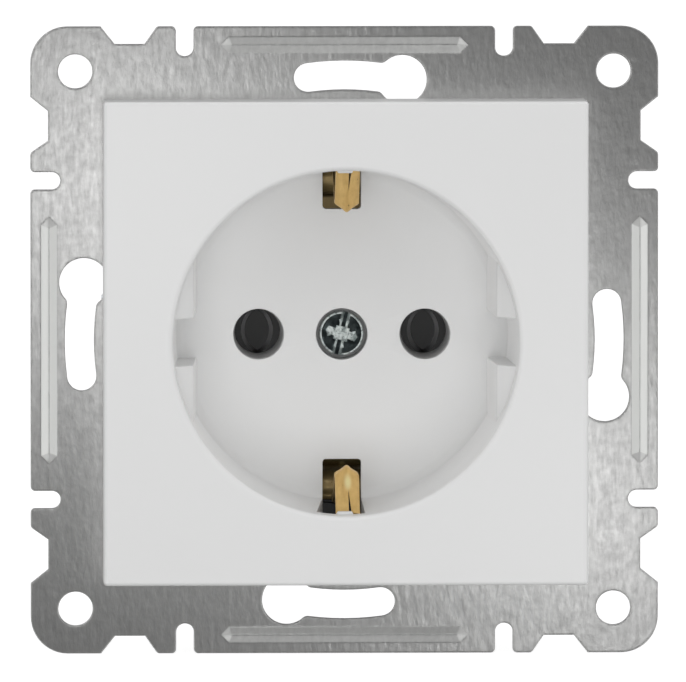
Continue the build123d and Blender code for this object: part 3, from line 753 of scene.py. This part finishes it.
earthStrap = {
    # depth and distance from the middle, from the top clip's end to the bar
    "corners": [
        (-4.2, 19.75), (1.0, 14.7), (8.2, 18.9), (13.2, 18.9), (13.2, 16.1), (20.95, 16.1),
        (20.95, 0.0),
    ],
    "bends": [0, 0.9, 2.5, 1.2, 1.2, 1.2, 0],
    "spacing": 0.25,
    "columns": 12,
    "thickness": 0.7,
    "edgeRound": 0.12,
    "width": 5.46,
    "tongueWidth": 2.75,
    "tongueDepth": 12.2,
    "tip": 14.35,
    "tipLength": 0.75,
    "tipShare": 0.12,  # of the tongue's width, at the very tip
    "shift": 0.3,
    "crown": 0.32,
    "crownDepth": 11.2,
    "slitStart": 17.0,
    "slitEnd": 20.6,
    "slitWidth": 0.45,
    "slitLean": 0.35,
    "slitPoint": 0.1,
    "slitDepths": (-6.0, 0.5),
    "screwHole": 1.7,
    "earthHole": 1.5,
    "earthHoleHeight": -12.0,
    "holeDepths": (18.0, 24.0),
}


# Half the strip's width where its middle has this depth and this distance from the centre
def stripHalfWidth(strip, depth, reach):
    if depth > strip["tongueDepth"]:
        return strip["width"] / 2
    inside = reach - strip["thickness"] / 2 - strip["tip"]
    return strip["tongueWidth"] / 2 * min(1.0, max(strip["tipShare"], inside / strip["tipLength"]))


def stripMiddle(strip):  # points along the strip's middle, from the top clip to the bottom one
    path = roundedOutline(strip["corners"], strip["bends"], 10, closed=False)
    dense = []
    for (y1, r1), (y2, r2) in zip(path, path[1:]):
        steps = max(1, int(sqrt((y2 - y1) ** 2 + (r2 - r1) ** 2) / strip["spacing"]))
        for k in range(steps):
            dense.append((y1 + (y2 - y1) * k / steps, r1 + (r2 - r1) * k / steps))
    return dense + [(y, -r) for y, r in [path[-1]] + dense[::-1]]


def buildStrap(strip):
    middle = stripMiddle(strip)
    maker = bmesh.new()
    rows = []
    for i, (y, z) in enumerate(middle):
        before, after = Vector(middle[max(i - 1, 0)]), Vector(middle[min(i + 1, len(middle) - 1)])
        along = (after - before).normalized()
        across = Vector((along.y, -along.x))  # points to the strip's outer face
        half = stripHalfWidth(strip, y, abs(z))
        crown = strip["crown"] if y < strip["crownDepth"] else 0.0
        shifted = Vector((y, z)) - across * (crown * 0.5)
        front, back = [], []
        for k in range(strip["columns"] + 1):
            share = 2 * k / strip["columns"] - 1
            rise = crown * (1 - share * share)
            edge = strip["edgeRound"] * abs(share) ** 8  # rounds the strip's long edges
            x = (strip["shift"] + share * half) * mm
            outer = strip["thickness"] / 2 - edge
            high, low = shifted + across * (outer + rise), shifted - across * (outer - rise)
            front.append(maker.verts.new((x, high.x * mm, high.y * mm)))
            back.append(maker.verts.new((x, low.x * mm, low.y * mm)))
        rows.append(front + back[::-1])
    for first, second in zip(rows, rows[1:]):
        for k in range(len(first)):
            j = (k + 1) % len(first)
            maker.faces.new((first[k], first[j], second[j], second[k]))
    maker.faces.new(rows[0])
    maker.faces.new(rows[-1])
    bmesh.ops.recalc_face_normals(maker, faces=maker.faces)
    strap = meshObject("earthStrap", maker)
    tools = []
    for z, radius in ((0.0, strip["screwHole"]), (strip["earthHoleHeight"], strip["earthHole"])):
        profile = [(radius, depth) for depth in strip["holeDepths"]]
        hole = latheMesh("strapHole", profile, 0.0, z, segments=64)
        tools.append(combine(strap, hole, "DIFFERENCE"))
    slitMiddle = strip["shift"] + strip["slitLean"]
    for side in (-1, 1):
        slit = prismMesh("slit", [
            (strip["shift"] + strip["slitPoint"], side * strip["slitStart"]),
            (slitMiddle + strip["slitWidth"] / 2, side * strip["slitEnd"]),
            (slitMiddle - strip["slitWidth"] / 2, side * strip["slitEnd"]),
        ], *strip["slitDepths"])
        tools.append(combine(strap, slit, "DIFFERENCE"))
    return settle(strap, tools, 40.0)


strap = buildStrap(earthStrap)
dress(strap, "brass", "insert", "earth_strap")
print("stage: earth strap", len(strap.data.polygons))


# Screws with threads: the cover screw has painted highlights on its slot, cross and rim, and a painted
# dark reflection on its flat face

coverScrew = {
    "face": 10.4,
    "headHeight": 2.3,
    "headRadius": 2.5,
    "headChamfer": 0.15,
    "rimWidth": 0.08,
    "rimRound": 0.14,
    "shankRadius": 1.5,
    "length": 15.0,
    "tipChamfer": 0.4,
    "slotWidth": 0.95,
    "slotDepth": 0.6,
    "slotFloor": 0.5,  # share of the slot's width at its floor
    "slotFlare": 0.1,
    "slotAngle": -14.0,
    "armReach": 1.85,
    "armWidth": 1.2,
    "armDepth": 0.55,
    # shares of the arm's reach and half width: each arm has a waist and a crooked tip
    "armOutline": [
        (0.0, 1.1), (0.55, 0.7), (0.8, 1.1), (1.0, 0.0), (0.86, -0.9), (0.5, -0.75), (0.0, -1.1),
    ],
    "centreReach": 1.1,
    "centreDepth": 0.75,
    "cutterLift": 0.4,  # cutters start this far before the face
    "threadStart": 0.4,
    "threadPitch": 0.5,
    "threadDepth": 0.28,
}
clawScrew = coverScrew | {
    "face": -2.6,
    "headHeight": 1.6,
    "headRadius": 2.2,
    "length": 15.9,
    "offset": 23.6,
    "slotTurn": 50.0,
}


def screwProfile(size):
    face, back = size["face"], size["face"] + size["headHeight"]
    rim, radius, chamfer = size["rimRound"], size["headRadius"], size["headChamfer"]
    shank, pitch = size["shankRadius"], size["threadPitch"]
    profile = [(0, face), (radius - rim - size["rimWidth"], face)]
    profile += [
        (radius - rim + rim * sin(pi / 2 * k / 5), face + rim - rim * cos(pi / 2 * k / 5))
        for k in range(6)
    ]
    profile += [(radius, back - chamfer), (radius - chamfer, back), (shank, back)]
    depth, end = back + size["threadStart"], back + size["length"] - size["tipChamfer"]
    while depth + pitch < end:
        profile += [(shank, depth), (shank - size["threadDepth"], depth + pitch / 2)]
        depth += pitch
    return profile + [(shank, depth), (shank - size["tipChamfer"], end + size["tipChamfer"])]


def slotCutter(size, along, across):  # a bar across the head that narrows to the slot's floor
    face, nearFace = size["face"], (size["face"] + 0.1) * mm
    reach, half = size["headRadius"] + 0.2, size["slotWidth"] / 2
    slot = prismMesh("slot", [
        tuple(along * reach * a + across * half * b)
        for a, b in ((1, 1), (1, -1), (-1, -1), (-1, 1))
    ], face, face + size["slotDepth"])
    for vertex in slot.data.vertices:
        atFloor = vertex.co.y > nearFace
        off = Vector((vertex.co.x, vertex.co.z)).dot(across)
        shift = across * off * (size["slotFloor"] - 1 if atFloor else size["slotFlare"])
        vertex.co.x, vertex.co.z = vertex.co.x + shift.x, vertex.co.z + shift.y
        if not atFloor:
            vertex.co.y -= 0.1 * mm
    return slot


def buildScrew(size, name, x, bodyMaterial, faceMaterial):
    face, front = size["face"], size["face"] - size["cutterLift"]
    screw = latheMesh(name, screwProfile(size))
    screw.data.materials.append(bodyMaterial)
    screw.data.materials.append(faceMaterial)
    faceRadius = size["headRadius"] - size["rimRound"] - size["rimWidth"]
    for polygon in screw.data.polygons:  # only the head's flat face takes the face material, on the cover screw a painted dark reflection
        centre = polygon.center
        inside = sqrt(centre.x ** 2 + centre.z ** 2) < faceRadius * mm
        polygon.material_index = 1 if inside and centre.y < (face + 0.05) * mm else 0
    turn = radians(size["slotAngle"])
    along, across = Vector((-sin(turn), cos(turn))), Vector((cos(turn), sin(turn)))
    slot = slotCutter(size, along, across)
    # the slot's floor takes the face material and its walls the body material: on the cover screw,
    # painted dark reflection and painted highlight
    for polygon in slot.data.polygons:
        polygon.material_index = 1 if abs(polygon.normal.y) > 0.9 else 0
    slot.data.materials.append(bodyMaterial)
    slot.data.materials.append(faceMaterial)
    tools = [combine(screw, slot, "DIFFERENCE")]
    wide, tip = size["armWidth"] / 2, size["armReach"]
    for k in range(4):
        angle = turn + pi / 2 * k
        out, side = Vector((cos(angle), sin(angle))), Vector((-sin(angle), cos(angle)))
        outline = [tuple(out * tip * a + side * wide * b) for a, b in size["armOutline"]]
        arm = prismMesh("arm", outline, front, face + size["armDepth"])
        tools.append(combine(screw, arm, "DIFFERENCE"))
    turns = [turn + pi / 4 + pi / 2 * k for k in range(4)]
    outline = [(size["centreReach"] * cos(t), size["centreReach"] * sin(t)) for t in turns]
    centre = prismMesh("centre", outline, front, face + size["centreDepth"])
    tools.append(combine(screw, centre, "DIFFERENCE"))
    for tool in tools[1:]:
        tool.data.materials.append(bodyMaterial)
    settle(screw, tools, 30.0)
    for vertex in screw.data.vertices:
        vertex.co.x += x * mm
    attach(screw, "insert")
    return screw


screw = buildScrew(coverScrew, "coverScrew", 0.0, screwPaintedHighlight, screwFacePaintedReflection)
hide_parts("cover_screw")
zinc = finishes["zinc_steel"]
for side, word in ((-1, "left"), (1, "right")):
    turned = clawScrew | {"slotAngle": side * clawScrew["slotTurn"]}
    screw = buildScrew(turned, f"clawScrew_{word}", side * clawScrew["offset"], zinc, zinc)
    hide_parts(f"claw_screw_{word}")
print("stage: screws", len(screw.data.polygons))


# Finishes of the nodes, each by its slot in the record

nodeEdges = {"width": 0.06, "segments": 3, "bevelAngle": 40.0, "sharpAngle": 30.0}
for subpart in frame["record"]["subparts"]:
    node = frame["nodes"][subpart["node"]]
    node.data.materials.clear()
    node.data.materials.append(finishes[subpart["material_slot"]])
    for polygon in node.data.polygons:
        polygon.use_smooth = True
    node.data.set_sharp_from_angle(angle=radians(nodeEdges["sharpAngle"]))
    bevel = node.modifiers.new("edgeRounding", "BEVEL")
    bevel.width = nodeEdges["width"] * mm
    bevel.segments = nodeEdges["segments"]
    bevel.limit_method = "ANGLE"
    bevel.angle_limit = radians(nodeEdges["bevelAngle"])


# Floor, lights and world

floorLook = {
    "reach": 6.0,  # in metres
    "gap": 0.2,
    "color": (0.5, 0.5, 0.5, 1.0),
    "roughness": 0.9,
    "glow": 0.85,  # for the camera alone
}


def buildFloor(look):
    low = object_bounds()[0]
    reach, level = look["reach"], low.z - look["gap"] * mm
    maker = bmesh.new()
    corners = [(-reach, -reach), (reach, -reach), (reach, reach), (-reach, reach)]
    maker.faces.new([maker.verts.new((x, y, level)) for x, y in corners])
    floor = meshObject("floor", maker)
    material = bpy.data.materials.new("paleFloor")
    material.use_nodes = True
    nodes, links = material.node_tree.nodes, material.node_tree.links
    shader = nodes["Principled BSDF"]
    shader.inputs["Base Color"].default_value = look["color"]
    shader.inputs["Roughness"].default_value = look["roughness"]
    shader.inputs["Specular IOR Level"].default_value = 0.0
    shader.inputs["Emission Color"].default_value = (1, 1, 1, 1)
    path = nodes.new("ShaderNodeLightPath")
    glow = addMath(nodes, links, "MULTIPLY", path.outputs["Is Camera Ray"], look["glow"])
    links.new(glow, shader.inputs["Emission Strength"])
    floor.data.materials.append(material)
    floor.visible_shadow = False
    floor.visible_glossy = False
    floor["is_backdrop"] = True


studio = {
    "frontLight": {
        "place": (-0.05, -2.1, -0.4), "target": (0, 0, 0), "size": 1.5, "power": 18.4,
        "glossy": False,
    },
    "overheadLight": {
        "place": (0.1, -0.9, 1.3), "target": (0, 0, 0), "size": 1.2, "power": 3.5,
        "glossy": False,
    },
    "leftLight": {
        "place": (-1.2, -0.9, 0.1), "target": (0, 0, 0), "size": 0.9, "power": 1.5,
        "glossy": False,
    },
    "rightLight": {
        "place": (1.2, -0.9, 0.1), "target": (0, 0, 0), "size": 0.9, "power": 1.9,
        "glossy": False,
    },
    "cardUpperLeft": {
        "place": (-0.0274, -0.12, 0.0118), "target": (-0.0274, 0, 0.0118), "size": 0.025,
        "height": 0.042, "power": 0.0116, "diffuse": False, "shadow": False,
    },
    "cardLowerRight": {
        "place": (0.0352, -0.12, -0.0262), "target": (0.0352, 0, -0.0262), "size": 0.028,
        "height": 0.032, "power": 0.0113, "diffuse": False, "shadow": False,
    },
}


def buildLight(name, values):
    place, target = Vector(values["place"]), Vector(values["target"])
    data = bpy.data.lights.new(name, "AREA")
    data.shape = "ELLIPSE"
    data.size = values["size"]
    data.size_y = values.get("height", values["size"])
    data.energy = values["power"]
    data.use_shadow = values.get("shadow", True)
    light = bpy.data.objects.new(name, data)
    light.location = place
    light.rotation_euler = (target - place).to_track_quat("-Z", "Y").to_euler()
    light.visible_camera = False
    light.visible_diffuse = values.get("diffuse", True)
    light.visible_glossy = values.get("glossy", True)
    bpy.context.scene.collection.objects.link(light)


worldLook = {
    "diffuse": 0.55,
    "glossyFront": 0.072,
    "glossySide": 1.0,
    "sideRange": (-0.78, -0.6),
    "levelShare": 0.42,
    "levelRange": (0.2, 0.6),
}


def buildWorld(look):  # soft grey room whose front, behind the camera, is darker than its sides
    world = bpy.data.worlds.new("studioWorld")
    bpy.context.scene.world = world
    world.use_nodes = True
    nodes, links = world.node_tree.nodes, world.node_tree.links
    path = nodes.new("ShaderNodeLightPath")
    place = nodes.new("ShaderNodeTexCoord")
    parts = nodes.new("ShaderNodeSeparateXYZ")
    level = nodes.new("ShaderNodeMapRange")  # above and below the object the sides are dimmer
    setRange(level, *look["levelRange"], look["levelShare"], look["glossySide"])
    sides = nodes.new("ShaderNodeMapRange")
    sides.interpolation_type = "SMOOTHSTEP"
    setRange(sides, *look["sideRange"], look["glossyFront"])
    strength = nodes.new("ShaderNodeMapRange")
    setRange(strength, 0.0, 1.0, look["diffuse"])
    links.new(place.outputs["Generated"], parts.inputs[0])
    links.new(parts.outputs["Y"], sides.inputs["Value"])
    links.new(addMath(nodes, links, "ABSOLUTE", parts.outputs["X"]), level.inputs["Value"])
    links.new(level.outputs["Result"], sides.inputs["To Max"])
    links.new(sides.outputs["Result"], strength.inputs["To Max"])
    links.new(path.outputs["Is Glossy Ray"], strength.inputs["Value"])
    links.new(strength.outputs["Result"], nodes["Background"].inputs["Strength"])
    nodes["Background"].inputs["Color"].default_value = (1, 1, 1, 1)


buildFloor(floorLook)
buildWorld(worldLook)
for lightName, values in studio.items():
    buildLight(lightName, values)
print("stage: studio", len(studio))


# Camera: nearly square on, a little from the left and from above, through a long lens

view = {
    "azimuth": -1.7,
    "elevation": 3.7,
    "distance": 2500.0,
    "pixelsPerMm": 8.79,
    "originPixel": (344.2, 339.3),
    "framePixels": (686, 682),
    "sensor": 36.0,
    "clipEnd": 100.0,  # in metres
}


def buildCamera(view):
    azimuth, elevation = radians(view["azimuth"]), radians(view["elevation"])
    back = Vector((
        sin(azimuth) * cos(elevation),
        -cos(azimuth) * cos(elevation),
        sin(elevation),
    ))
    turn = back.to_track_quat("Z", "Y")
    right, up = turn @ Vector((1, 0, 0)), turn @ Vector((0, 1, 0))
    width, height = view["framePixels"]
    offsetX = (width / 2 - view["originPixel"][0]) / view["pixelsPerMm"] * mm
    offsetZ = (view["originPixel"][1] - height / 2) / view["pixelsPerMm"] * mm
    data = bpy.data.cameras.new("camera")
    data.sensor_width = view["sensor"]
    data.lens = view["pixelsPerMm"] * view["sensor"] * view["distance"] / width
    data.clip_end = view["clipEnd"]
    camera = bpy.data.objects.new("camera", data)
    camera.location = back * view["distance"] * mm + right * offsetX + up * offsetZ
    camera.rotation_euler = turn.to_euler()
    bpy.context.scene.collection.objects.link(camera)
    bpy.context.scene.camera = camera


buildCamera(view)
print("stage: camera")
